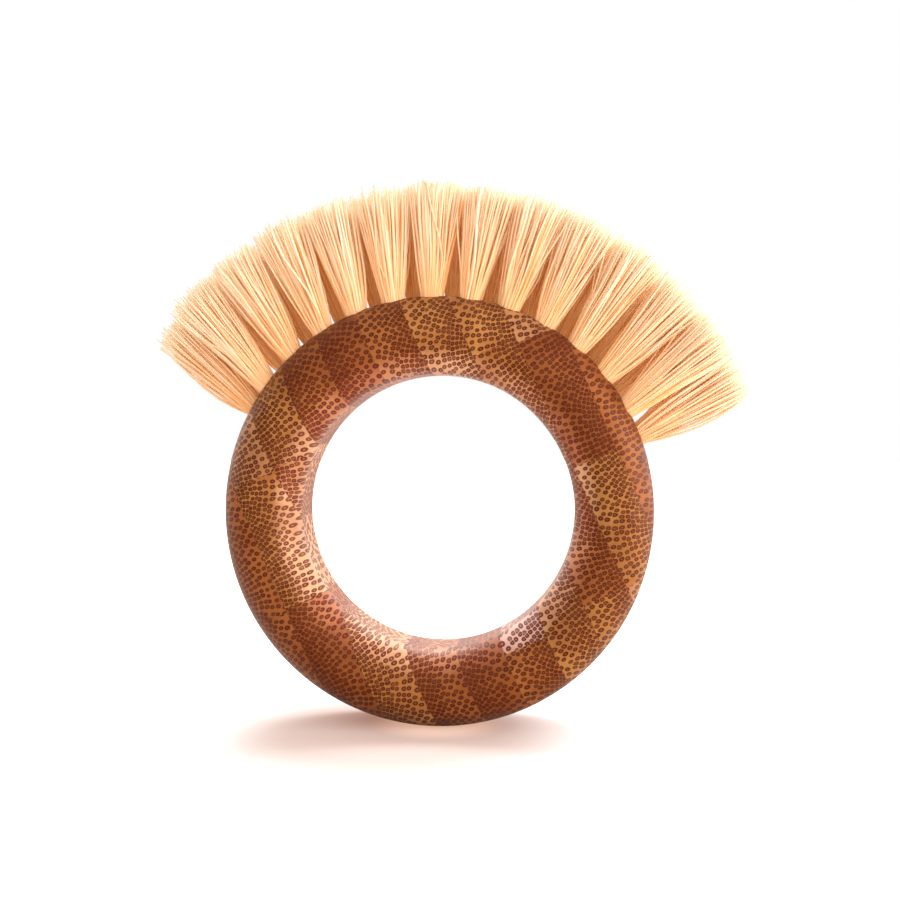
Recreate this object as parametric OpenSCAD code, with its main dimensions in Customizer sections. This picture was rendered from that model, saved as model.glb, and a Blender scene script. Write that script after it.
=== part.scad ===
// Ring vegetable brush: a turned ring of laminated bamboo with two rows of bristle tufts in drilled holes,
// and one more tuft at each end. The origin is the ring's centre. Y is the axis of the finger hole, and Z
// points to the middle of the bristles.

/* [Ring] */
// Outer diameter of the ring
ring_d = 84; // [83:0.5:90]
// Diameter of the finger hole
hole_d = 53.6; // [48:0.2:54]
// Depth of the ring along its hole
ring_depth = 24; // [22:0.5:30]
// Radius that rounds the four edges of the ring's section
edge_round = 7.3; // [4:0.1:7.5]

/* [Bamboo layers] */
// Thickness of one layer of the laminated bamboo
layer_t = 8.78; // [8.7:0.02:8.9]
// Lean of the glue lines to the left of upright
glue_lean = 27.9; // [24:0.1:32]
// Distance of the middle glue line from the hole's axis
glue_offset = 1.5; // [1:0.1:2]

/* [Tuft holes] */
// Holes in the front row, the back row has one less
front_tufts = 12; // [6:1:12]
// Angle between neighbouring holes of one row
tuft_pitch = 10.4; // [10:0.05:10.8]
// Angle from the last hole of the front row to the single hole at that end
end_step = 7.8; // [7.6:0.1:9]
// Distance between the two rows
row_gap = 10; // [9:0.2:11]
// Diameter of a tuft hole
tuft_hole_d = 4.2; // [3.6:0.1:4.4]
// Depth of a tuft hole below the ring's tread
tuft_hole_depth = 10; // [8:0.5:12]

/* [Bristles] */
// Radius on which the bristles are trimmed
trim_r = 66.4; // [62:0.2:68]
// How far the centre of that radius lies below the ring's centre
trim_drop = 3.4; // [0:0.2:5]
// Unevenness of the trimmed tips
trim_wander = 0.6; // [0:0.1:1]
// Strands in one tuft, each standing for a lock of fibres
tuft_strands = 17; // [12:1:17]
// Width of a strand where it leaves the ring
strand_w = 0.58; // [0.4:0.02:0.6]
// Width of a strand at its tip, where its fibres have spread
tip_w = 1.1; // [0.5:0.05:1.2]
// How many times wider a tuft is at its tips, along the row
flare_along = 2.8; // [2.2:0.1:2.8]
// How many times wider a tuft is at its tips, across the rows
flare_across = 2.3; // [1.9:0.1:2.3]
// How far the two rows lean away from each other at their tips
row_lean = 0.2; // [0:0.1:1]
// Share of its angle that a tuft keeps at its tips
fan_keep = 0.93; // [0.93:0.005:1]

/* [Anchor wires] */
// Length of an anchor wire, which is wider than its hole
anchor_l = 5; // [4.6:0.1:5.2]
// Height of an anchor wire along its hole
anchor_h = 1.6; // [1:0.1:2]
// Thickness of an anchor wire
anchor_t = 0.35; // [0.25:0.05:0.5]

/* [Hidden] */
$fn = 96;
// Sides of the turned ring, enough for its smallest strip to keep its volume
turned_sides = 240;
ring_r = ring_d / 2;
hole_r = hole_d / 2;
wall = ring_r - hole_r;
tuft_hole_r = tuft_hole_d / 2;
hole_floor_r = ring_r - tuft_hole_depth;

// Each layer is made of strips laid end to end. These are the joints along the layer, from its lower right
// end to its upper left end. A joint at 0 lies in the finger hole, where a layer that the hole cuts is in
// two pieces.
layer_joints = [
    [-6],
    [-5.4, 19.9],
    [0, 20.3],
    [0],
    [0],
    [-30, 0],
    [0],
    [-27.1, -3.3, 24.1],
    [-27.5, -2.7, 23],
    []
];
layers = len(layer_joints);
reach = ring_d;
strips = [
    for (i = [0 : layers - 1])
        let (ends = concat([-reach], layer_joints[i], [reach]))
            for (j = [0 : len(ends) - 2]) [i, ends[j], ends[j + 1]]
];

// A strip spans its layer's thickness. The first and the last layer run out past the ring.
function layer_start(i) = i == 0 ? -reach : glue_offset + (i - layers / 2) * layer_t;
function layer_end(i) = i == layers - 1 ? reach : glue_offset + (i + 1 - layers / 2) * layer_t;

// The colours of the strips, taken in turn
strip_colours = ["peru", "sienna", "chocolate", "#9c6236", "#a9683c"];

// Angles of a row's tufts, even about the middle of the fringe
function row_angles(count) = [for (k = [0 : count - 1]) (k - (count - 1) / 2) * tuft_pitch];
end_angle = (front_tufts - 1) / 2 * tuft_pitch + end_step;

// Rows of tufts as name, place along the hole's axis, lean at the tips, and angles
rows = [
    ["front", -row_gap / 2, -row_lean, row_angles(front_tufts)],
    ["back", row_gap / 2, row_lean, row_angles(front_tufts - 1)],
    ["end", 0, 0, [-end_angle, end_angle]]
];
tufts = [for (r = rows) for (k = [0 : len(r[3]) - 1]) [r, k, r[3][k]]];

function two_digits(n) = n < 10 ? str("0", n) : str(n);

strip_names = [for (k = [1 : len(strips)]) str("bamboo_strip_", two_digits(k))];
tuft_names = [for (t = tufts) str("tuft_", t[0][0], "_", two_digits(t[1] + 1))];
anchor_name = "anchor_wires";

// The bundle of a tuft is a little slimmer than its hole, and ends below the hole's lowest rim.
bundle_r = tuft_hole_r - 0.05;
bundle_top_r = ring_r - 1;
strand_root_r = bundle_top_r - 0.4;
// Strands run straight to just outside the ring, and flare from there.
flare_start_r = ring_r + 0.2;
strand_circle_r = bundle_r - strand_w / 2 - 0.03;
golden_angle = 137.508;
// The anchor wire holds the fold of the bundle just above the floor of its hole.
anchor_floor_gap = 1;
// Turn from one strand's uneven length to the next one's, which never repeats within a tuft
wander_turn = 101;

// Places its children, drawn upright at the top of the ring, at an angle clockwise from the top.
module at_angle(angle, y) {
    rotate([0, angle, 0])
        translate([0, y, 0])
            children();
}

// Section of the ring: a rectangle with four rounded corners, which leaves a level tread and a level bore.
module ring_section() {
    half = ring_depth / 2;
    translate([hole_r + edge_round, -half])
        square([wall - 2 * edge_round, ring_depth]);
    translate([hole_r, -half + edge_round])
        square([wall, ring_depth - 2 * edge_round]);
    for (x = [hole_r + edge_round, ring_r - edge_round], y = [-half + edge_round, half - edge_round])
        translate([x, y])
            circle(r = edge_round);
}

module anchor_blank() {
    translate([-anchor_t / 2, -anchor_l / 2, hole_floor_r + anchor_floor_gap])
        cube([anchor_t, anchor_l, anchor_h]);
}

module tuft_holes() {
    for (t = tufts)
        at_angle(t[2], t[0][1]) {
            translate([0, 0, hole_floor_r])
                cylinder(r = tuft_hole_r, h = tuft_hole_depth + 1);
            anchor_blank();
        }
}

// One strip of bamboo: its share of the turned ring, with the tuft holes drilled and the anchors' slots.
module bamboo_strip(strip, colour) {
    start = layer_start(strip[0]);
    color(colour)
        difference() {
            intersection() {
                rotate([90, 0, 0])
                    rotate_extrude($fn = turned_sides)
                        ring_section();
                rotate([0, -glue_lean, 0])
                    translate([start, -ring_depth, strip[1]])
                        cube([layer_end(strip[0]) - start, 2 * ring_depth, strip[2] - strip[1]]);
            }
            tuft_holes();
        }
}

// Corners of a three-sided strand around a centre, at one height
function strand_corners(centre, w, turn) = [
    for (k = [0 : 2]) centre + [w / 2 * cos(120 * k + turn), w / 2 * sin(120 * k + turn), 0]
];

// One strand from inside the bundle to its trimmed tip, for a tuft at an angle. All strands of a tuft follow
// the same flare, so they never cross.
module strand(root, sway, angle, turn, uneven) {
    tip_x = root[0] * flare_along + sway[0];
    off_centre = tip_x - trim_drop * sin(angle);
    tip_z = sqrt(pow(trim_r, 2) - pow(off_centre, 2)) - trim_drop * cos(angle) + uneven;
    share = (tip_z - flare_start_r) / (trim_r - flare_start_r);
    tip = [
        root[0] * (1 + (flare_along - 1) * share) + sway[0] * share,
        root[1] * (1 + (flare_across - 1) * share) + sway[1] * share,
        tip_z
    ];
    corners = concat(
        strand_corners([root[0], root[1], strand_root_r], strand_w, turn),
        strand_corners([root[0], root[1], flare_start_r], strand_w, turn),
        strand_corners(tip, tip_w, turn)
    );
    sides = [
        for (ring = [0, 3], k = [0 : 2])
            let (next = (k + 1) % 3)
                each [
                    [ring + k, ring + 3 + k, ring + next],
                    [ring + next, ring + 3 + k, ring + 3 + next]
                ]
    ];
    polyhedron(points = corners, faces = concat([[0, 1, 2]], sides, [[6, 8, 7]]));
}

// One tuft: the folded bundle that fills the hole, and the strands that stand out of it
module tuft(row, index, angle) {
    sway = [trim_r * sin(angle * (fan_keep - 1)), row[2]];
    color("navajowhite")
        at_angle(angle, row[1])
            difference() {
                union() {
                    translate([0, 0, hole_floor_r])
                        cylinder(r = bundle_r, h = bundle_top_r - hole_floor_r);
                    for (k = [0 : tuft_strands - 1]) {
                        spread = strand_circle_r * sqrt((k + 0.5) / (tuft_strands - 0.5));
                        turn = golden_angle * (k + index);
                        uneven = trim_wander * sin(wander_turn * (k + index));
                        strand([spread * cos(turn), spread * sin(turn)], sway, angle, turn, uneven);
                    }
                }
                anchor_blank();
            }
}

// The anchor wires, each one a separate piece
module anchor_wires() {
    color("silver")
        for (t = tufts)
            at_angle(t[2], t[0][1])
                anchor_blank();
}

for (k = [0 : len(strips) - 1])
    bamboo_strip(strips[k], strip_colours[k % len(strip_colours)]);
for (k = [0 : len(tufts) - 1])
    tuft(tufts[k][0], tufts[k][1], tufts[k][2]);
anchor_wires();
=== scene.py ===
from math import cos, log, radians, sin, tau

import bpy
import numpy as np
from bpy.props import FloatProperty, FloatVectorProperty, IntProperty, PointerProperty
from mathutils import Matrix, Vector


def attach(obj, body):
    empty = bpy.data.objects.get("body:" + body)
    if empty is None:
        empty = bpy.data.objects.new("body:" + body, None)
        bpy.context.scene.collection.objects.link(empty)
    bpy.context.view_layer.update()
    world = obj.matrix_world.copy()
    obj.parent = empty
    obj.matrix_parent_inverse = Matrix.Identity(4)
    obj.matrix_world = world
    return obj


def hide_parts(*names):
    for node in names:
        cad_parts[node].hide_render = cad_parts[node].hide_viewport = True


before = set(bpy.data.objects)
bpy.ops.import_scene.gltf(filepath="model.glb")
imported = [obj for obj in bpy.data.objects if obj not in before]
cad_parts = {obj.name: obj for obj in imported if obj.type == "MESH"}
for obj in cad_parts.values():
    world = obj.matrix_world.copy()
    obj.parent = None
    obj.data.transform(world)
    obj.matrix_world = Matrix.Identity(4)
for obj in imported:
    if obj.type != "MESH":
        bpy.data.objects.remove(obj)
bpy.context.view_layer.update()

bl_info = {
    "name": "Ring vegetable brush",
    "version": (1, 0, 0),
    "blender": (4, 5, 0),
    "location": "View3D > Sidebar > Ring brush",
    "description": "Finishes a laminated bamboo ring brush with plant-fibre tufts, and sets its studio",
    "category": "Object",
}

MM = 0.001
ROOT = "root"


# Sizes and colours

def length(name, description, default):
    return FloatProperty(name=name, description=description, default=default, unit="LENGTH", precision=5)


def angle(name, description, default):
    return FloatProperty(name=name, description=description, default=radians(default), unit="ROTATION")


def share(name, description, default, top=1.0):
    return FloatProperty(name=name, description=description, default=default, min=0.0, max=top)


def colour(name, description, default):
    return FloatVectorProperty(
        name=name, description=description, default=default, subtype="COLOR", size=3, min=0.0, max=1.0)


class BambooSettings(bpy.types.PropertyGroup):
    layer_thickness: length("Layer thickness", "Thickness of one bamboo layer", 0.00878)
    glue_offset: length("Glue offset", "Distance of the middle glue line from the hole's axis", 0.0015)
    glue_lean: angle("Glue lean", "Lean of the glue lines to the left of upright", 27.9)
    wide_pitch: length("Wide pitch", "Distance between fibre bundles where they stand apart", 0.00142)
    bore_level: length("Bore level", "Half the depth of the finger hole's level wall", 0.0047)
    close_pitch: length("Close pitch", "Distance between fibre bundles where they crowd", 0.00077)
    deep: colour("Deep tone", "Darkest, reddest strips", (0.205, 0.054, 0.012))
    dark: colour("Dark tone", "Dark red-brown strips", (0.236, 0.069, 0.016))
    red: colour("Red tone", "Red-brown strips", (0.268, 0.084, 0.020))
    brown: colour("Brown tone", "Medium brown strips", (0.305, 0.108, 0.026))
    olive: colour("Olive tone", "Duller yellow-brown strips", (0.318, 0.128, 0.034))
    golden: colour("Golden tone", "Light yellow-brown strips", (0.376, 0.152, 0.041))
    pink: colour("Pink tone", "Light pinkish strips", (0.382, 0.174, 0.072))
    bundle: colour("Bundle colour", "Fibre bundles of the bamboo", (0.056, 0.004, 0.001))
    lacquer: share("Lacquer", "Weight of the clear lacquer", 0.07)
    lacquer_roughness: share("Lacquer roughness", "Roughness of the clear lacquer", 0.28)


class TuftSettings(bpy.types.PropertyGroup):
    pitch: angle("Tuft pitch", "Angle between neighbouring tufts of a row", 10.4)
    end_step: angle("End step", "Angle from a last front tuft to the single tuft at that end", 7.8)
    row_gap: length("Row gap", "Distance between the two rows of tufts", 0.010)
    row_lean: length("Row lean", "How far the rows lean away from each other at their tips", 0.0002)
    fan_keep: share("Fan kept", "Share of its angle that a tuft keeps at its tips", 0.93)
    side_lean: length("Side lean", "How far all tufts lean to the right at their tips", 0.0008)
    hole_radius: length("Hole radius", "Radius of a tuft hole", 0.0021)
    hole_floor: length("Hole floor", "Distance of a hole's floor from the ring's centre", 0.032)
    tread: length("Tread radius", "Outer radius of the ring", 0.042)
    trim: length("Trim radius", "Radius on which the bristles are trimmed", 0.0664)
    trim_drop: length("Trim drop", "How far that radius's centre lies below the ring's centre", 0.0034)
    fibres: IntProperty(name="Fibres", description="Fibres in one tuft", default=210, min=20, max=400)
    fibre_width: length("Fibre width", "Width of an average fibre", 0.00040)
    flare_along: share(
        "Flare along", "How many times wider a tuft is at its tips, along the row", 2.6, 5.0)
    flare_across: share(
        "Flare across", "How many times wider a tuft is at its tips, across the rows", 2.3, 5.0)
    # Painted glow: an even emission on the fibres that stands in for light passed through and between them
    painted_glow: colour("Glow", "Colour of the light that has passed through other fibres", (1.0, 0.40, 0.03))
    painted_glow_level: share("Glow level", "Brightness of that light", 0.07)
    bloom: share("Bloom", "Soft brightness along the edges of a fibre", 0.5)
    pale: colour("Pale fibre", "Lightest fibres", (0.97, 0.82, 0.62))
    cream: colour("Cream fibre", "Most of the fibres", (0.91, 0.61, 0.385))
    orange: colour("Orange fibre", "Fibres with more of the husk's colour", (0.92, 0.48, 0.20))
    # Painted shade: the deeper colour near the holes stands in for the shade down among the fibres
    painted_root_shade: colour("Root tint", "Colour of the fibres near their holes", (0.92, 0.44, 0.11))


class AnchorSettings(bpy.types.PropertyGroup):
    steel: colour("Wire", "Cut steel wire", (0.62, 0.62, 0.60))
    roughness: share("Wire roughness", "Roughness of the drawn wire", 0.32)


class StudioSettings(bpy.types.PropertyGroup):
    distance: length("Camera distance", "Distance from the ring's centre to the camera", 0.250)
    azimuth: angle("Camera azimuth", "How far the camera stands to the right", 5.8)
    elevation: angle("Camera elevation", "How far the camera looks down", 4.1)
    roll: angle("Roll", "How far the brush is rolled clockwise on the floor", 3.9)
    aim_right: length("Aim right", "Point that the camera looks at, right of the ring's centre", 0.0021)
    aim_up: length("Aim up", "Point that the camera looks at, above the ring's centre", 0.0119)
    floor: colour("Floor", "Colour of the paper under the brush", (0.44, 0.44, 0.44))
    bounce: colour("Bounce", "Colour of the paper in the light that it throws back", (0.66, 0.60, 0.55))
    # Painted shadow: the paper's warm shadow colour and its lighter contact are a glow placed by distance
    # from the brush
    painted_shadow_tint: colour("Shade tint", "Glow of the paper that warms its shadow", (0.30, 0.13, 0.08))
    painted_contact_glow: colour("Contact tint", "Glow of the paper close to the brush", (0.66, 0.38, 0.27))


# Node helpers

def put(tree, socket, value):
    """Links a socket to another socket, or gives it a plain value."""
    if isinstance(value, bpy.types.NodeSocket):
        tree.links.new(value, socket)
    elif socket.type == "RGBA" and len(value) == 3:
        socket.default_value = (*value, 1.0)
    else:
        socket.default_value = value


def node(tree, kind, inputs=None, **settings):
    made = tree.nodes.new(kind)
    for name, value in settings.items():
        setattr(made, name, value)
    for name, value in (inputs or {}).items():
        put(tree, made.inputs[name], value)
    return made


def calc(tree, operation, *values):
    return node(tree, "ShaderNodeMath", dict(enumerate(values)), operation=operation).outputs[0]


def fade(tree, value, start, end, low=0.0, high=1.0):
    """low at start and below, high at end and above, smooth between them."""
    made = node(tree, "ShaderNodeMapRange", {
        "Value": value, "From Min": start, "From Max": end, "To Min": low, "To Max": high,
    }, interpolation_type="SMOOTHSTEP")
    return made.outputs["Result"]


def blend(tree, factor, first, second, how="MIX"):
    made = node(tree, "ShaderNodeMix", {0: factor, 6: first, 7: second}, data_type="RGBA", blend_type=how)
    return made.outputs[2]


def vector(tree, x, y, z=0.0):
    return node(tree, "ShaderNodeCombineXYZ", {0: x, 1: y, 2: z}).outputs[0]


def new_group(name, inputs, outputs):
    """An empty shader node group with named sockets, and the nodes that stand for its two ends."""
    group = bpy.data.node_groups.new(name, "ShaderNodeTree")
    for label, kind in inputs:
        group.interface.new_socket(name=label, in_out="INPUT", socket_type="NodeSocket" + kind)
    for label, kind in outputs:
        group.interface.new_socket(name=label, in_out="OUTPUT", socket_type="NodeSocket" + kind)
    return group, group.nodes.new("NodeGroupInput").outputs, group.nodes.new("NodeGroupOutput").inputs


def new_material(name):
    material = bpy.data.materials.new(name)
    material.use_nodes = True
    tree = material.node_tree
    return material, tree, tree.nodes["Principled BSDF"]


def object_place(tree):
    return tree.nodes.new("ShaderNodeTexCoord").outputs["Object"]


# Bamboo

# Tones of the strips, from bamboo_strip_01 on
STRIP_TONES = (
    "dark", "dark",                     # layer 1, at the lower left
    "deep", "olive", "pink",            # layer 2
    "golden", "brown", "olive",         # layer 3
    "dark", "dark",                     # layer 4
    "deep", "deep",                     # layer 5
    "red", "pink", "red",               # layer 6
    "olive", "golden",                  # layer 7
    "olive", "red", "brown", "golden",  # layer 8
    "pink", "olive", "deep", "pink",    # layer 9
    "dark",                             # layer 10, at the upper right
)
# Fibre bundles crowd towards the left side of their layer up to this strip, and after it towards the right.
LAST_CROWDED_LEFT = 12

# The numbers below belong to the end grain. A name with FADE holds the two values between which something
# fades in, and then the lowest and the highest share where these aren't 0 and 1.

# Slow noise that sways the bundles' rows, by this many millimetres, and clouds the ground tissue
SLOW_SCALE, SLOW_DETAIL, SWAY = 0.13, 1.0, 1.9
# Distances from the hole's axis between which the pattern starts to be drawn in
BORE_FADE = (0.034, 0.030)
# Step of the pattern from each strip to the next, so that no two are alike
SEED_STEP = (17.3, 5.7)
# Unevenness of the bundles' spread, and the bare edge that keeps their dots apart
SPREAD, PATCH_FADE = 0.42, (0.01, 0.08)
# Squeeze of a dot across and along its layer, its size where bundles stand apart and where they crowd, how
# much that varies, and its rim and its paler heart as shares of the size
DOT_SQUEEZE = (0.88, 1.14)
DOT_SIZES, DOT_VARIETY = (0.32, 0.47), 0.08
DOT_FADE, HEART_FADE = (1.12, 0.90), (0.44, 0.12)
HEART_CROWD_FADE, HEART_STRENGTH = (1.0, 0.35, 0.25, 1.0), 0.45
# Strength of a dot's colour: its variety and its lowest value
DOT_STRENGTH = (0.15, 0.85)
# Ground tissue: its lighter and darker shades against a strip's tone, its clouds, and its fine veins
LIGHTER, DARKER = (1.20, 1.26, 1.30), (0.62, 0.46, 0.40)
CLOUD_FADE, CLOUD_SOFTNESS = (0.35, 0.65), 0.5
VEIN_SCALE, VEIN_DETAIL, VEIN_ROUGHNESS = (2.6, 0.12, 2.6), 3.0, 0.6
VEIN_FADE, CROWD_SHADE_FADE = (0.40, 0.72, 0.0, 0.30), (0.40, 1.0, 0.0, 0.22)
# Painted sheen: the finger hole's rim made paler and pinker by the distance from its axis, in place of the
# light that it catches
RIM_SHEEN_FADE, RIM_SHEEN_STRENGTH, RIM_SHEEN_TINT = (0.0321, 0.0284), 0.65, (2.35, 3.4, 7.6)
# Glue lines, by the distance in millimetres
GLUE_FADE, GLUE_COLOUR = (0.12, 0.04, 0.0, 0.18), (0.090, 0.026, 0.012)
# Roughness as its variety and lowest value, lacquer lost on a dot, and heights of dots, veins and glue lines
ROUGHNESS, LACQUER_ON_DOT = (0.16, 0.40), -0.25
DOT_HEIGHT, VEIN_HEIGHT, GLUE_HEIGHT = -0.55, 0.35, -0.6
# The wood's own shine under its lacquer, and its relief
WOOD_SPECULAR, WOOD_SPECULAR_TINT = 0.42, (1.0, 0.40, 0.18, 1.0)
LACQUER_IOR = 1.5
WOOD_RELIEF = {"Strength": 0.35, "Distance": 0.00010}


def drawn_in_bore(group, depth, from_axis, wood):
    """How far the pattern is drawn in, as a share of its place. On the bore's level wall the bundles would
    only draw streaks. There they run on towards the wall's middle as on the rounded edge before it."""
    inward = calc(group, "SUBTRACT", wood.bore_level, calc(group, "ABSOLUTE", depth))
    inward = calc(group, "MAXIMUM", inward, 0.0)
    inward = calc(group, "MULTIPLY", inward, fade(group, from_axis, *BORE_FADE))
    return calc(group, "DIVIDE", inward, from_axis)


def wound_plane(group, seed, out_from_edge, along, wood):
    """The plane, wound round a far centre, so that the patches of the bundles shrink towards the crowded
    side and stay as wide as they are long. The cosine and the sine of the turn at each point go with it."""
    rate = log(wood.wide_pitch / wood.close_pitch) / (wood.layer_thickness / MM)
    radius = calc(group, "EXPONENT", calc(group, "MULTIPLY", out_from_edge, rate))
    radius = calc(group, "MULTIPLY", radius, MM / (rate * wood.wide_pitch))
    swing = calc(group, "MULTIPLY", along, rate)
    turn = calc(group, "COSINE", swing), calc(group, "SINE", swing)
    place = [calc(group, "MULTIPLY_ADD", radius, part, calc(group, "MULTIPLY", seed, step))
             for part, step in zip(turn, SEED_STEP)]
    return vector(group, *place), turn


def bundle_dots(group, wound, turn, crowd):
    """Masks of the bundles' dots and of their hearts, and a random value for each bundle."""
    patches = {"Vector": wound, "Scale": 1.0, "Randomness": SPREAD}
    cells = node(group, "ShaderNodeTexVoronoi", patches, voronoi_dimensions="2D", feature="F1")
    edges = node(group, "ShaderNodeTexVoronoi", patches, voronoi_dimensions="2D", feature="DISTANCE_TO_EDGE")
    chance = node(group, "ShaderNodeSeparateColor", {0: cells.outputs["Color"]}).outputs
    apart = node(group, "ShaderNodeVectorMath", {
        0: wound, 1: cells.outputs["Position"]}, operation="SUBTRACT").outputs[0]
    x, y = node(group, "ShaderNodeSeparateXYZ", {0: apart}).outputs[:2]
    across = calc(group, "ADD", calc(group, "MULTIPLY", x, turn[0]), calc(group, "MULTIPLY", y, turn[1]))
    along = calc(group, "SUBTRACT", calc(group, "MULTIPLY", y, turn[0]), calc(group, "MULTIPLY", x, turn[1]))
    squeezed = vector(group, calc(group, "MULTIPLY", across, DOT_SQUEEZE[0]),
                      calc(group, "MULTIPLY", along, DOT_SQUEEZE[1]))
    reach = node(group, "ShaderNodeVectorMath", {0: squeezed}, operation="LENGTH").outputs["Value"]
    size = calc(group, "MULTIPLY_ADD", chance[1], DOT_VARIETY, fade(group, crowd, 0.0, 1.0, *DOT_SIZES))
    reach = calc(group, "DIVIDE", reach, size)
    bare_edge = fade(group, edges.outputs["Distance"], *PATCH_FADE)
    spot = calc(group, "MULTIPLY", fade(group, reach, *DOT_FADE), bare_edge)
    heart = calc(group, "MULTIPLY", fade(group, reach, *HEART_FADE), fade(group, crowd, *HEART_CROWD_FADE))
    return spot, heart, chance[0]


def end_grain_group(wood):
    """Bamboo seen on its cut ends: fibre bundles that crowd towards one side of each layer, the streaks that
    they draw along the tread, the glue lines between the layers, and a painted sheen on the finger hole's
    rim."""
    group, given, out = new_group("bamboo end grain", [
        ("Place", "Vector"), ("Tone", "Color"), ("Bundle colour", "Color"), ("Crowded side", "Float"),
        ("Seed", "Float"),
    ], [("Colour", "Color"), ("Roughness", "Float"), ("Lacquer", "Float"), ("Height", "Float")])
    tone, side = given["Tone"], given["Crowded side"]

    # Place in the laminate, in millimetres, and in the layer, from 0 at one glue line to 1 at the next
    thick = wood.layer_thickness / MM
    turned = node(group, "ShaderNodeMapping", {
        "Vector": given["Place"], "Rotation": (0.0, wood.glue_lean, 0.0), "Scale": (1 / MM,) * 3}).outputs[0]
    axes = node(group, "ShaderNodeSeparateXYZ", {0: turned}).outputs
    across, along = axes[0], axes[2]
    layer = calc(group, "DIVIDE", calc(group, "SUBTRACT", across, wood.glue_offset / MM), thick)
    inside = calc(group, "FRACT", layer)
    crowd = calc(group, "MULTIPLY_ADD", calc(group, "SUBTRACT", inside, 0.5), side, 0.5)
    from_centre = node(group, "ShaderNodeSeparateXYZ", {0: given["Place"]}).outputs
    from_axis = node(group, "ShaderNodeVectorMath", {
        0: vector(group, from_centre[0], 0.0, from_centre[2])}, operation="LENGTH").outputs["Value"]

    # Fibre bundles
    slow = node(group, "ShaderNodeTexNoise", {
        "Vector": turned, "Scale": SLOW_SCALE, "Detail": SLOW_DETAIL}).outputs["Fac"]
    sway = calc(group, "MULTIPLY", calc(group, "SUBTRACT", slow, 0.5), SWAY)
    drawn_in = drawn_in_bore(group, from_centre[1], from_axis, wood)
    out_from_edge = calc(group, "SUBTRACT", calc(group, "MULTIPLY_ADD", crowd, thick, sway),
                         calc(group, "MULTIPLY", calc(group, "MULTIPLY", across, drawn_in), side))
    along = calc(group, "SUBTRACT", along, calc(group, "MULTIPLY", along, drawn_in))
    wound, turn = wound_plane(group, given["Seed"], out_from_edge, along, wood)
    spot, heart, chance = bundle_dots(group, wound, turn, crowd)

    # Ground tissue
    veins = node(group, "ShaderNodeTexNoise", {
        "Vector": node(group, "ShaderNodeMapping", {"Vector": turned, "Scale": VEIN_SCALE}).outputs[0],
        "Scale": 1.0, "Detail": VEIN_DETAIL, "Roughness": VEIN_ROUGHNESS}).outputs["Fac"]
    lighter = blend(group, 1.0, tone, vector(group, *LIGHTER), "MULTIPLY")
    darker = blend(group, 1.0, tone, vector(group, *DARKER), "MULTIPLY")
    ground = blend(group, fade(group, slow, *CLOUD_FADE), darker, lighter)
    ground = blend(group, CLOUD_SOFTNESS, ground, tone)
    ground = blend(group, fade(group, veins, *VEIN_FADE), ground, lighter)
    ground = blend(group, fade(group, crowd, *CROWD_SHADE_FADE), ground, darker)

    # The bundles' dots, with a paler heart where they stand apart
    depth = calc(group, "MULTIPLY", spot, calc(group, "MULTIPLY_ADD", chance, *DOT_STRENGTH))
    finished = blend(group, depth, ground, given["Bundle colour"])
    finished = blend(group, calc(group, "MULTIPLY", heart, HEART_STRENGTH), finished, tone)

    # Painted sheen on the rim of the finger hole
    rim = calc(group, "MULTIPLY", fade(group, from_axis, *RIM_SHEEN_FADE), RIM_SHEEN_STRENGTH)
    finished = blend(group, rim, finished, blend(group, 1.0, finished, vector(group, *RIM_SHEEN_TINT), "MULTIPLY"))

    # Glue lines
    to_line = calc(group, "MINIMUM", inside, calc(group, "SUBTRACT", 1.0, inside))
    to_line = calc(group, "MULTIPLY", to_line, thick)
    line = fade(group, to_line, *GLUE_FADE)
    finished = blend(group, line, finished, GLUE_COLOUR)

    put(group, out["Colour"], finished)
    put(group, out["Roughness"], calc(group, "MULTIPLY_ADD", veins, *ROUGHNESS))
    kept = calc(group, "MULTIPLY_ADD", spot, LACQUER_ON_DOT, 1.0)
    put(group, out["Lacquer"], calc(group, "MULTIPLY", kept, wood.lacquer))
    height = calc(group, "MULTIPLY_ADD", spot, DOT_HEIGHT, calc(group, "MULTIPLY", veins, VEIN_HEIGHT))
    put(group, out["Height"], calc(group, "MULTIPLY_ADD", line, GLUE_HEIGHT, height))
    return group


def bamboo_material(number, tone, side, wood, grain):
    material, tree, surface = new_material(f"bamboo {number:02d}")
    grown = node(tree, "ShaderNodeGroup", node_tree=grain)
    values = {
        "Place": object_place(tree), "Tone": tuple(getattr(wood, tone)), "Bundle colour": tuple(wood.bundle),
        "Crowded side": side, "Seed": number,
    }
    for label, value in values.items():
        put(tree, grown.inputs[label], value)
    put(tree, surface.inputs["Base Color"], grown.outputs["Colour"])
    put(tree, surface.inputs["Roughness"], grown.outputs["Roughness"])
    put(tree, surface.inputs["Coat Weight"], grown.outputs["Lacquer"])
    surface.inputs["Specular IOR Level"].default_value = WOOD_SPECULAR
    surface.inputs["Specular Tint"].default_value = WOOD_SPECULAR_TINT
    surface.inputs["Coat Roughness"].default_value = wood.lacquer_roughness
    surface.inputs["Coat IOR"].default_value = LACQUER_IOR
    raised = node(tree, "ShaderNodeBump", {**WOOD_RELIEF, "Height": grown.outputs["Height"]})
    put(tree, surface.inputs["Normal"], raised.outputs[0])
    return material


class RINGBRUSH_OT_bamboo(bpy.types.Operator):
    """Lacquer the bamboo strips, each with its own tone and its own fibre bundles"""
    bl_idname = "ring_brush.bamboo"
    bl_label = "Bamboo ring"
    bl_options = {"REGISTER", "UNDO"}

    def execute(self, context):
        wood = context.scene.ring_brush_bamboo
        grain = end_grain_group(wood)
        for number, tone in enumerate(STRIP_TONES, start=1):
            side = -1 if number <= LAST_CROWDED_LEFT else 1
            finish = bamboo_material(number, tone, side, wood, grain)
            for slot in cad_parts[f"bamboo_strip_{number:02d}"].material_slots:
                slot.material = finish
        return {"FINISHED"}


# Bristle tufts

FRONT_TUFTS, BACK_TUFTS = 12, 11
FIRST_SEED = 7
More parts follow.
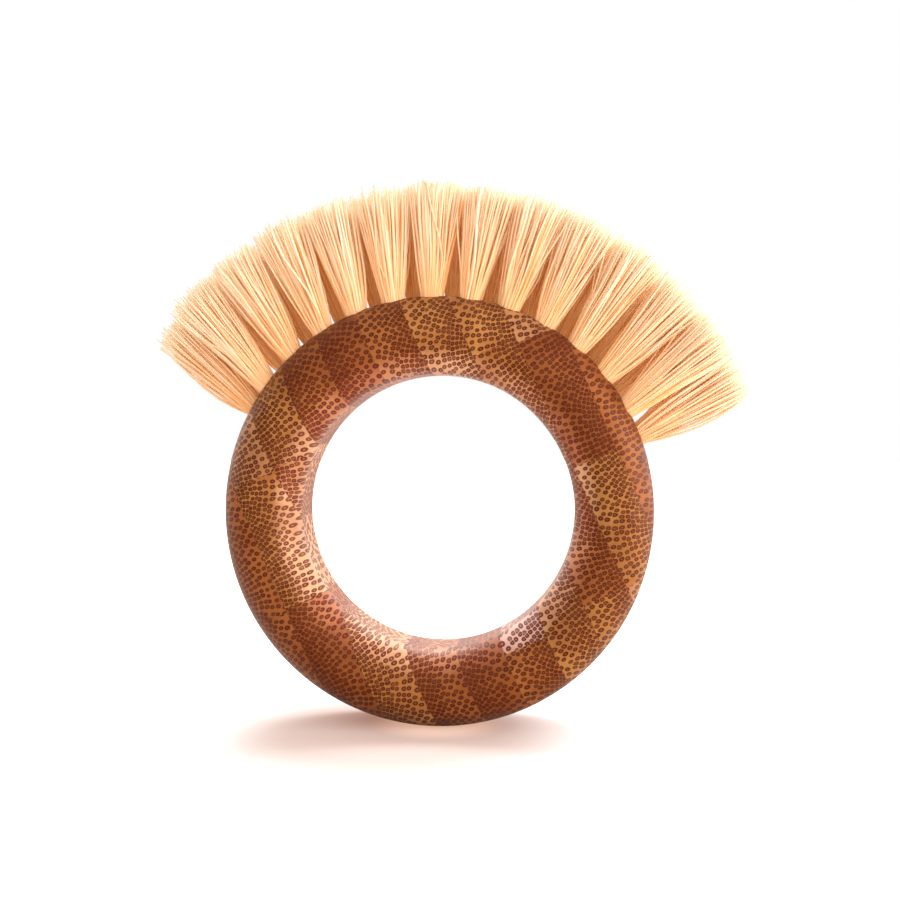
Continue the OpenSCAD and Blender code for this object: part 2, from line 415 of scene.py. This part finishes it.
# Rings of corners along one fibre, and its width at the first, second, last but one and last of them
FIBRE_RINGS, TAPER = 8, (0.9, 1.0, 0.90, 0.62)
# Turn from one fibre to the next in a tuft, which spreads them evenly over its hole
GOLDEN_ANGLE = 2.39996

# The folded bundle: its gap to the hole's wall, how far its top lies below the tread, and its rounding
BUNDLE_SIDES, BUNDLE_GAP, BUNDLE_SUNK, BUNDLE_ROUNDING = 20, 0.05 * MM, 1.0 * MM, 0.35 * MM
# The anchor wire across it: thickness, length and height, and its middle above the hole's floor
WIRE_SIZE, WIRE_ABOVE_FLOOR = (0.35 * MM, 5.0 * MM, 1.6 * MM), 1.8 * MM

# A fibre starts this far below the tread, leaves its bundle's line this far above it, and bulges by this
# share on its way out.
ROOT_SUNK, FLARE_START, BULGE = 1.6 * MM, 0.2 * MM, 0.03
# Spreads of a fibre's place in its hole, of its tip, of its bow and of its curl, and of a tuft's lean
ROOT_SPREAD, TIP_SPREAD, BOW, CURL, LEAN_SPREAD = 0.05 * MM, 0.30 * MM, 0.20 * MM, 0.14 * MM, 0.3 * MM
# Share of the spread along the row that a tip has across the rows
TIP_SPREAD_ACROSS = 0.8
# Stray fibres: their share, the spread of their tips, and how many times more they bend
STRAY_SHARE, STRAY_SPREAD, STRAY_BEND = 0.035, 2.0 * MM, 3.0
# Loose fibres on the outside of an end tuft: where they start, their share, and their least and largest bow
LOOSE_FROM, LOOSE_SHARE, LOOSE_BOW = 1.3 * MM, 0.30, (0.4 * MM, 2.0 * MM)
# Short fibres: their share, and what they lack at least and at most
SHORT_SHARE, SHORT_BY = 0.08, (0.5 * MM, 3.0 * MM)
# Unevenness of the trim, of a tuft and of a fibre
TUFT_UNEVEN, FIBRE_UNEVEN = 0.25 * MM, 0.34 * MM

# Least and largest width and flatness of a fibre, against the average, and the share that is thicker
WIDTHS, FLATNESS, THICK_SHARE, THICKER = (0.72, 1.25), (0.6, 1.0), 0.08, 1.4
# A four-sided fibre's corners lie this much further out than a round one's side
CORNERS_OUT = 1.25
# Shades from 0, orange, to 1, pale: average and spread, share and range of the orange ones, the bundle's
# own, and how much duller the back row is painted, as painted shade behind the front row
SHADE, SHADE_SPREAD = 0.58, 0.17
ORANGE_SHARE, ORANGE_SHADES, BUNDLE_SHADE = 0.07, (0.0, 0.2), 0.15
BACK_ROW_PAINTED_SHADE = 0.10

# The fibre's material, named as the end grain's: flecks, fades by shade, and fades by reach, which runs from
# 0 at the tread to 1 at the tip. The fades by reach paint shade near the holes and light at the tips.
FLECK_SCALE, FLECK_DETAIL, FLECK_STRENGTH = 420.0, 2.0, 0.35
CREAM_FADE, PALE_FADE = (0.05, 0.45), (0.55, 0.95)
ROOT_SHADE_FADE, TIP_LIGHT_FADE = (0.60, 0.0, 0.0, 0.45), (0.55, 1.0)
FIBRE_ROUGHNESS_FADE, FIBRE_SPECULAR, SHEEN_ROUGHNESS = (0.2, 0.9, 0.62, 0.42), 0.4, 0.4
FIBRE_RELIEF = {"Strength": 0.25, "Distance": 0.00005}


def deselect():
    if bpy.context.object and bpy.context.object.mode != "OBJECT":
        bpy.ops.object.mode_set(mode="OBJECT")
    bpy.ops.object.select_all(action="DESELECT")


def mesh_arrays(thing):
    """Corners and faces of a finished object, which is then taken away."""
    mesh = thing.data
    corners = np.empty(len(mesh.vertices) * 3)
    mesh.vertices.foreach_get("co", corners)
    faces = [tuple(face.vertices) for face in mesh.polygons]
    bpy.data.objects.remove(thing)
    bpy.data.meshes.remove(mesh)
    return corners.reshape(-1, 3), faces


def fibre_blank():
    """One straight four-sided fibre: a small end, extruded once for each length between two bends."""
    deselect()
    bpy.ops.mesh.primitive_circle_add(vertices=4, radius=0.5, fill_type="NGON", location=(0, 0, 0))
    fibre = bpy.context.object
    bpy.ops.object.mode_set(mode="EDIT")
    for _ in range(FIBRE_RINGS - 1):
        bpy.ops.mesh.extrude_region_move(TRANSFORM_OT_translate={"value": (0, 0, 1)})
    bpy.ops.mesh.select_all(action="SELECT")
    bpy.ops.mesh.normals_make_consistent(inside=False)
    bpy.ops.object.mode_set(mode="OBJECT")
    return mesh_arrays(fibre)


def bundle_blank(tufts):
    """The folded root of a tuft that fills its hole, slotted where the anchor wire lies across the fold."""
    bottom, top = tufts.hole_floor, tufts.tread - BUNDLE_SUNK
    deselect()
    bpy.ops.mesh.primitive_cylinder_add(
        vertices=BUNDLE_SIDES, radius=tufts.hole_radius - BUNDLE_GAP, depth=top - bottom,
        location=(0, 0, (top + bottom) / 2))
    root = bpy.context.object
    bpy.ops.object.transform_apply(location=True, rotation=True, scale=True)
    rim = root.modifiers.new("rounded rims", "BEVEL")
    rim.width, rim.segments, rim.limit_method = BUNDLE_ROUNDING, 2, "ANGLE"
    bpy.ops.object.modifier_apply(modifier=rim.name)
    deselect()
    bpy.ops.mesh.primitive_cube_add(size=1, location=(0, 0, bottom + WIRE_ABOVE_FLOOR))
    wire = bpy.context.object
    wire.scale = WIRE_SIZE
    bpy.ops.object.transform_apply(location=False, rotation=False, scale=True)
    deselect()
    root.select_set(True)
    bpy.context.view_layer.objects.active = root
    slot = root.modifiers.new("anchor slot", "BOOLEAN")
    slot.operation, slot.object, slot.solver = "DIFFERENCE", wire, "EXACT"
    bpy.ops.object.modifier_apply(modifier=slot.name)
    mesh_arrays(wire)
    return mesh_arrays(root)


def fibre_paths(tufts, chance, turned, lean_along, lean_across, outside):
    """Centres of every fibre's rings, in a frame whose Z runs out through the middle of the hole. A tuft at
    an end of the fringe has some loose fibres on its outside, which is -1 or 1, and 0 for other tufts."""
    count = tufts.fibres
    order = np.arange(count)
    spread = tufts.hole_radius * np.sqrt((order + 0.5) / count)
    turn = order * GOLDEN_ANGLE + chance.uniform(0, tau)
    root_x = spread * np.cos(turn) + chance.normal(0, ROOT_SPREAD, count)
    root_y = spread * np.sin(turn) + chance.normal(0, ROOT_SPREAD, count)

    stray = chance.random(count) < STRAY_SHARE
    wide = np.where(stray, STRAY_SPREAD, TIP_SPREAD)
    bend = np.where(stray, STRAY_BEND, 1.0)
    tip_x = root_x * tufts.flare_along + lean_along + chance.normal(0, 1, count) * wide
    tip_y = root_y * tufts.flare_across + lean_across + chance.normal(0, TIP_SPREAD_ACROSS, count) * wide
    bow_x = chance.normal(0, BOW, count) * bend
    bow_y = chance.normal(0, BOW, count)
    curl = chance.normal(0, CURL, count) * bend
    loose = (root_x * outside > LOOSE_FROM) & (chance.random(count) < LOOSE_SHARE)
    bow_x = np.where(loose, outside * chance.uniform(*LOOSE_BOW, count), bow_x)

    short = np.where(chance.random(count) < SHORT_SHARE, chance.uniform(*SHORT_BY, count), 0.0)
    radius = tufts.trim + chance.normal(0, TUFT_UNEVEN) + chance.normal(0, FIBRE_UNEVEN, count) - short
    off_centre = tip_x - tufts.trim_drop * sin(turned)
    tip_z = np.sqrt(radius ** 2 - off_centre ** 2) - tufts.trim_drop * cos(turned)

    leave = tufts.tread + FLARE_START
    rings = [np.stack([root_x, root_y, np.full(count, tufts.tread - ROOT_SUNK)], axis=1)]
    for part in np.linspace(0.0, 1.0, FIBRE_RINGS - 1):
        hump = sin(part * tau / 2)
        out = part + BULGE * sin(part * tau / 2) * (1 - part)
        rings.append(np.stack([
            root_x + (tip_x - root_x) * out + bow_x * hump + curl * sin(part * tau),
            root_y + (tip_y - root_y) * out + bow_y * hump,
            leave + (tip_z - leave) * part,
        ], axis=1))
    return np.stack(rings, axis=1)


def tuft_mesh(name, tufts, blanks, chance, paths, turned, row_place, painted_row_shade):
    """The mesh of one tuft, turned to its place on the ring. It keeps a shade and a reach for each corner."""
    (blank, blank_faces), (bundle, bundle_faces) = blanks
    count = len(paths)
    level = np.rint(blank[:, 2]).astype(int)
    width = tufts.fibre_width * chance.uniform(*WIDTHS, count)
    width = width * np.where(chance.random(count) < THICK_SHARE, THICKER, 1.0)
    flat = chance.uniform(*FLATNESS, count)
    turn = chance.uniform(0, tau, count)
    taper = np.interp(level, [0, 1, FIBRE_RINGS - 2, FIBRE_RINGS - 1], TAPER)
    x = blank[None, :, 0] * width[:, None] * taper * CORNERS_OUT
    y = blank[None, :, 1] * (width * flat)[:, None] * taper * CORNERS_OUT
    across = np.stack([
        x * np.cos(turn)[:, None] - y * np.sin(turn)[:, None],
        x * np.sin(turn)[:, None] + y * np.cos(turn)[:, None],
        np.zeros_like(x),
    ], axis=2)
    fibres = (paths[:, level, :] + across).reshape(-1, 3)

    corners = np.concatenate([bundle, fibres])
    faces = list(bundle_faces)
    for number in range(count):
        first = len(bundle) + number * len(blank)
        faces.extend(tuple(first + corner for corner in face) for face in blank_faces)

    shade = np.clip(chance.normal(SHADE - painted_row_shade, SHADE_SPREAD, count), 0.0, 1.0)
    shade = np.where(chance.random(count) < ORANGE_SHARE, chance.uniform(*ORANGE_SHADES, count), shade)
    shades = np.concatenate([np.full(len(bundle), BUNDLE_SHADE), np.repeat(shade, len(blank))])
    reach = np.hypot(corners[:, 0], corners[:, 2]) - tufts.tread
    reach = np.clip(reach / (tufts.trim - tufts.tread), 0, 1)

    a, b = cos(turned), sin(turned)
    placed = np.stack([
        corners[:, 0] * a + corners[:, 2] * b,
        corners[:, 1] + row_place,
        corners[:, 2] * a - corners[:, 0] * b,
    ], axis=1)
    mesh = bpy.data.meshes.new(name)
    mesh.from_pydata(placed.tolist(), [], faces)
    for label, values in (("fibre_shade", shades), ("fibre_reach", reach)):
        mesh.attributes.new(label, "FLOAT", "POINT").data.foreach_set("value", values.astype(np.float32))
    mesh.update()
    return mesh


def bristle_material(tufts):
    """Dry plant fibre: cream, with paler and more orange fibres mixed in, with painted shade that deepens the
    colour near the holes, painted light that pales the tips, and a painted glow.
    """
    material, tree, surface = new_material("plant fibre")
    shade = node(tree, "ShaderNodeAttribute", attribute_name="fibre_shade").outputs["Fac"]
    reach = node(tree, "ShaderNodeAttribute", attribute_name="fibre_reach").outputs["Fac"]
    flecks = node(tree, "ShaderNodeTexNoise", {
        "Vector": object_place(tree), "Scale": FLECK_SCALE, "Detail": FLECK_DETAIL}).outputs["Fac"]
    flecked = calc(tree, "MULTIPLY", calc(tree, "SUBTRACT", flecks, 0.5), FLECK_STRENGTH)
    mixed = calc(tree, "ADD", shade, flecked)
    fibre = blend(tree, fade(tree, mixed, *CREAM_FADE), tuple(tufts.orange), tuple(tufts.cream))
    fibre = blend(tree, fade(tree, mixed, *PALE_FADE), fibre, tuple(tufts.pale))
    # Painted shade near the holes
    fibre = blend(tree, fade(tree, reach, *ROOT_SHADE_FADE), fibre, tuple(tufts.painted_root_shade))
    # Painted light: the tips pale towards the pale fibre's colour
    fibre = blend(tree, fade(tree, reach, *TIP_LIGHT_FADE), fibre, tuple(tufts.pale))
    put(tree, surface.inputs["Base Color"], fibre)
    put(tree, surface.inputs["Roughness"], fade(tree, mixed, *FIBRE_ROUGHNESS_FADE))
    surface.inputs["Specular IOR Level"].default_value = FIBRE_SPECULAR
    # Painted glow on every fibre, in place of light passed through the tuft
    surface.inputs["Emission Color"].default_value = (*tufts.painted_glow, 1.0)
    surface.inputs["Emission Strength"].default_value = tufts.painted_glow_level
    surface.inputs["Sheen Weight"].default_value = tufts.bloom
    surface.inputs["Sheen Roughness"].default_value = SHEEN_ROUGHNESS
    surface.inputs["Sheen Tint"].default_value = (*tufts.cream, 1.0)
    raised = node(tree, "ShaderNodeBump", {**FIBRE_RELIEF, "Height": flecks})
    put(tree, surface.inputs["Normal"], raised.outputs[0])
    return material


def tuft_places(tufts):
    """Every tuft as its row, its number in it, its angle, its place along the hole's axis and its lean there,
    and -1 or 1 for the outside of a tuft at an end."""
    half, pitch = tufts.row_gap / 2, tufts.pitch
    rows = (("front", FRONT_TUFTS, -half, -tufts.row_lean), ("back", BACK_TUFTS, half, tufts.row_lean))
    for row, count, place, lean in rows:
        for k in range(count):
            yield row, k + 1, (k - (count - 1) / 2) * pitch, place, lean, 0
    last = (FRONT_TUFTS - 1) / 2 * pitch + tufts.end_step
    yield "end", 1, -last, 0.0, 0.0, -1
    yield "end", 2, last, 0.0, 0.0, 1


class RINGBRUSH_OT_tufts(bpy.types.Operator):
    """Set the tufts of plant fibre in their holes, in two rows and one more at each end"""
    bl_idname = "ring_brush.tufts"
    bl_label = "Bristle tufts"
    bl_options = {"REGISTER", "UNDO"}

    def execute(self, context):
        tufts = context.scene.ring_brush_tufts
        finish = bristle_material(tufts)
        blanks = fibre_blank(), bundle_blank(tufts)
        for seed, place in enumerate(tuft_places(tufts), start=FIRST_SEED):
            row, number, turned, row_place, row_lean, outside = place
            name = f"{row}_{number:02d}"
            chance = np.random.default_rng(seed)
            lean = tufts.trim * sin(turned * (tufts.fan_keep - 1)) + tufts.side_lean
            lean += chance.normal(0, LEAN_SPREAD)
            # The back row is painted darker and more orange, as shade behind the front row
            painted_row_shade = BACK_ROW_PAINTED_SHADE if row == "back" else 0.0
            paths = fibre_paths(tufts, chance, turned, lean, row_lean, outside)
            mesh = tuft_mesh("bristles_" + name, tufts, blanks, chance, paths, turned, row_place, painted_row_shade)
            mesh.materials.append(finish)
            mesh.shade_smooth()
            piece = bpy.data.objects.new("bristles_" + name, mesh)
            context.scene.collection.objects.link(piece)
            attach(piece, ROOT)
            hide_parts("tuft_" + name)
        return {"FINISHED"}


# Anchor wires

# Marks that drawing left along a wire, its duller shade, and how much its roughness varies about the middle
DRAW_SCALE, DRAW_DETAIL = (9000.0, 500.0, 9000.0), 2.0
DULL_STEEL = (0.72, 0.70, 0.68)
WIRE_ROUGHNESS_SPREAD = 0.1


def wire_material(anchor):
    material, tree, surface = new_material("cut steel wire")
    drawn = node(tree, "ShaderNodeTexNoise", {
        "Vector": node(tree, "ShaderNodeMapping", {
            "Vector": object_place(tree), "Scale": DRAW_SCALE}).outputs[0],
        "Scale": 1.0, "Detail": DRAW_DETAIL}).outputs["Fac"]
    dull = blend(tree, 1.0, tuple(anchor.steel), vector(tree, *DULL_STEEL), "MULTIPLY")
    put(tree, surface.inputs["Base Color"], blend(tree, drawn, dull, tuple(anchor.steel)))
    put(tree, surface.inputs["Roughness"], calc(
        tree, "MULTIPLY_ADD", drawn, 2 * WIRE_ROUGHNESS_SPREAD, anchor.roughness - WIRE_ROUGHNESS_SPREAD))
    surface.inputs["Metallic"].default_value = 1.0
    return material


class RINGBRUSH_OT_anchors(bpy.types.Operator):
    """Give the anchor wires, sealed in the wood under the tufts, their drawn steel"""
    bl_idname = "ring_brush.anchors"
    bl_label = "Anchor wires"
    bl_options = {"REGISTER", "UNDO"}

    def execute(self, context):
        finish = wire_material(context.scene.ring_brush_anchors)
        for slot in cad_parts["anchor_wires"].material_slots:
            slot.material = finish
        return {"FINISHED"}


# Studio

# The round paper floor: its sides, its radius, and the width of the ring of faces along its edge
FLOOR_SIDES, FLOOR_RADIUS, FLOOR_EDGE = 96, 1.6, 0.5
FLOOR_ROUGHNESS, FLOOR_SPECULAR = 0.9, 0.1
# Middles of the painted glow close to the brush and of the painted shadow, right of and behind the point of
# contact, and the distances from them over which the one becomes the other, and that one white
CONTACT_GLOW_PLACE, CONTACT_GLOW_FADE = (0.0, -0.003), (0.005, 0.015)
PAINTED_SHADOW_PLACE, PAINTED_SHADOW_FADE = (-0.008, -0.012), (0.018, 0.052)
WHITE = (1.0, 1.0, 1.0)

# Light from all round, by the direction's part to the right, to the back or up. A name with FADE is as in
# the end grain.
AROUND, AROUND_COLOUR = 0.18, (1.0, 0.96, 0.92)
RIGHT_FADE, RIGHT_LEVEL = (0.50, 0.90), 1.5
LEFT_FADE = (-0.45, -0.90, 0.0, 0.3)
BEHIND_FADE, BEHIND_UP_FADE, BEHIND_LEVEL = (-0.3, 0.5), (-0.6, 0.3, 0.35, 1.0), 1.5
ABOVE_FADE = (0.25, 0.75, 0.0, 0.7)

# Lamps: name, place to the right, back and up, width and height, power and colour. All look at one point.
LAMPS = (
    ("back_box", (0.0, 0.40, 0.45), (0.34, 0.20), 3.0, (1.0, 0.98, 0.96)),
    ("right_window", (0.54, -0.19, 0.08), (0.46, 0.34), 3.0, (1.0, 0.96, 0.92)),
    ("front_box", (0.06, -0.52, 0.16), (0.50, 0.40), 1.2, (1.0, 0.98, 0.96)),
)
LAMP_TARGET = (0.0, 0.0, 0.01)

# The camera's sensor and lens in millimetres, and the nearest and farthest that it sees
SENSOR, LENS, CLIP = 36.0, 50.12, (0.01, 20.0)


def photo_axes(studio):
    """Right, back and up of the picture, in the brush's own frame."""
    a = studio.roll
    return Vector((cos(a), 0, sin(a))), Vector((0, 1, 0)), Vector((-sin(a), 0, cos(a)))


def pointed(place, target, up):
    """The matrix of a camera or lamp at a place, looking at a target, with a given up."""
    back = (place - target).normalized()
    right = up.cross(back).normalized()
    turned = Matrix((right, back.cross(right), back)).transposed()
    return Matrix.Translation(place) @ turned.to_4x4()


def distance_from(tree, point):
    return node(tree, "ShaderNodeVectorMath", {0: object_place(tree), 1: tuple(point)},
                operation="DISTANCE").outputs["Value"]


def make_floor(studio, tread):
    right, back, up = photo_axes(studio)
    deselect()
    bpy.ops.mesh.primitive_circle_add(
        vertices=FLOOR_SIDES, radius=FLOOR_RADIUS, fill_type="NGON", location=(0, 0, 0))
    floor = bpy.context.object
    floor.name = "studio_floor"
    bpy.ops.object.mode_set(mode="EDIT")
    bpy.ops.mesh.select_all(action="SELECT")
    bpy.ops.mesh.inset(thickness=FLOOR_EDGE)
    bpy.ops.object.mode_set(mode="OBJECT")
    place = Matrix((right, back, up)).transposed().to_4x4()
    floor.data.transform(Matrix.Translation(-up * tread) @ place)
    material, tree, surface = new_material("studio paper")
    seen = node(tree, "ShaderNodeLightPath").outputs["Is Camera Ray"]
    put(tree, surface.inputs["Base Color"], blend(tree, seen, tuple(studio.bounce), tuple(studio.floor)))
    surface.inputs["Roughness"].default_value = FLOOR_ROUGHNESS
    surface.inputs["Specular IOR Level"].default_value = FLOOR_SPECULAR
    from_contact_glow, from_painted_shadow = [
        distance_from(tree, right * place[0] + back * place[1] - up * tread)
        for place in (CONTACT_GLOW_PLACE, PAINTED_SHADOW_PLACE)]
    # Painted shadow and painted light: a camera-only glow, pale and warm at the contact, warm in the shadow
    # round it and white beyond, placed by distance and not by the lamps
    tint = blend(tree, fade(tree, from_contact_glow, *CONTACT_GLOW_FADE),
                 tuple(studio.painted_contact_glow), tuple(studio.painted_shadow_tint))
    tint = blend(tree, fade(tree, from_painted_shadow, *PAINTED_SHADOW_FADE), tint, WHITE)
    painted_glow = node(tree, "ShaderNodeEmission", {"Color": tint, "Strength": 1.0})
    both = node(tree, "ShaderNodeAddShader", {0: surface.outputs[0], 1: painted_glow.outputs[0]})
    chosen = node(tree, "ShaderNodeMixShader", {0: seen, 1: surface.outputs[0], 2: both.outputs[0]})
    put(tree, tree.nodes["Material Output"].inputs["Surface"], chosen.outputs[0])
    floor.data.materials.clear()
    floor.data.materials.append(material)


def make_world():
    """White to the camera. The object is lit by a studio that is bright to the right, above and behind, and
    dark round the camera."""
    world = bpy.data.worlds.new("studio")
    bpy.context.scene.world = world
    world.use_nodes = True
    tree = world.node_tree
    tree.nodes.clear()
    towards = node(tree, "ShaderNodeSeparateXYZ", {
        0: tree.nodes.new("ShaderNodeTexCoord").outputs["Generated"]}).outputs
    right, back, up = towards[0], towards[1], towards[2]
    behind = calc(tree, "MULTIPLY", fade(tree, back, *BEHIND_FADE), fade(tree, up, *BEHIND_UP_FADE))
    level = calc(tree, "MULTIPLY_ADD", fade(tree, right, *RIGHT_FADE), RIGHT_LEVEL, AROUND)
    level = calc(tree, "ADD", level, fade(tree, right, *LEFT_FADE))
    level = calc(tree, "MULTIPLY_ADD", behind, BEHIND_LEVEL, level)
    level = calc(tree, "ADD", level, fade(tree, up, *ABOVE_FADE))
    studio = node(tree, "ShaderNodeBackground", {"Color": AROUND_COLOUR, "Strength": level})
    white = node(tree, "ShaderNodeBackground", {"Color": WHITE, "Strength": 1.0})
    path = node(tree, "ShaderNodeLightPath")
    seen = calc(tree, "MAXIMUM", path.outputs["Is Camera Ray"], path.outputs["Is Transmission Ray"])
    chosen = node(tree, "ShaderNodeMixShader", {0: seen, 1: studio.outputs[0], 2: white.outputs[0]})
    put(tree, tree.nodes.new("ShaderNodeOutputWorld").inputs["Surface"], chosen.outputs[0])


def make_lamp(studio, name, place, size, power, tint):
    right, back, up = photo_axes(studio)
    data = bpy.data.lights.new(name, "AREA")
    data.shape, data.size, data.size_y = "RECTANGLE", size[0], size[1]
    data.energy, data.color = power, tint
    lamp = bpy.data.objects.new(name, data)
    lamp.matrix_world = pointed(right * place[0] + back * place[1] + up * place[2], Vector(LAMP_TARGET), up)
    lamp.visible_camera = False
    bpy.context.scene.collection.objects.link(lamp)


def make_camera(studio):
    right, back, up = photo_axes(studio)
    a, e = studio.azimuth, studio.elevation
    place = (right * sin(a) * cos(e) - back * cos(a) * cos(e) + up * sin(e)) * studio.distance
    data = bpy.data.cameras.new("photo camera")
    data.sensor_width, data.lens = SENSOR, LENS
    data.clip_start, data.clip_end = CLIP
    camera = bpy.data.objects.new("photo_camera", data)
    camera.matrix_world = pointed(place, right * studio.aim_right + up * studio.aim_up, up)
    bpy.context.scene.collection.objects.link(camera)
    bpy.context.scene.camera = camera


class RINGBRUSH_OT_studio(bpy.types.Operator):
    """Lay the paper floor, hang the lights and set the camera"""
    bl_idname = "ring_brush.studio"
    bl_label = "Studio"
    bl_options = {"REGISTER", "UNDO"}

    def execute(self, context):
        studio = context.scene.ring_brush_studio
        context.scene.view_settings.view_transform = "Standard"
        make_floor(studio, context.scene.ring_brush_tufts.tread)
        make_world()
        for lamp in LAMPS:
            make_lamp(studio, *lamp)
        make_camera(studio)
        return {"FINISHED"}


# Sidebar and registration

GROUPS = (
    ("ring_brush_bamboo", BambooSettings, RINGBRUSH_OT_bamboo),
    ("ring_brush_tufts", TuftSettings, RINGBRUSH_OT_tufts),
    ("ring_brush_anchors", AnchorSettings, RINGBRUSH_OT_anchors),
    ("ring_brush_studio", StudioSettings, RINGBRUSH_OT_studio),
)


class RINGBRUSH_PT_sidebar(bpy.types.Panel):
    bl_label = "Ring brush"
    bl_idname = "RINGBRUSH_PT_sidebar"
    bl_space_type = "VIEW_3D"
    bl_region_type = "UI"
    bl_category = "Ring brush"

    def draw(self, context):
        for key, settings, operator in GROUPS:
            box = self.layout.box()
            for name in settings.__annotations__:
                box.prop(getattr(context.scene, key), name)
            box.operator(operator.bl_idname)


def register():
    for key, settings, operator in GROUPS:
        bpy.utils.register_class(settings)
        bpy.utils.register_class(operator)
        setattr(bpy.types.Scene, key, PointerProperty(type=settings))
    bpy.utils.register_class(RINGBRUSH_PT_sidebar)


def unregister():
    bpy.utils.unregister_class(RINGBRUSH_PT_sidebar)
    for key, settings, operator in reversed(GROUPS):
        delattr(bpy.types.Scene, key)
        bpy.utils.unregister_class(operator)
        bpy.utils.unregister_class(settings)


def main():
    register()
    bpy.ops.ring_brush.bamboo()
    bpy.ops.ring_brush.tufts()
    bpy.ops.ring_brush.anchors()
    bpy.ops.ring_brush.studio()


if __name__ == "__main__":
    main()
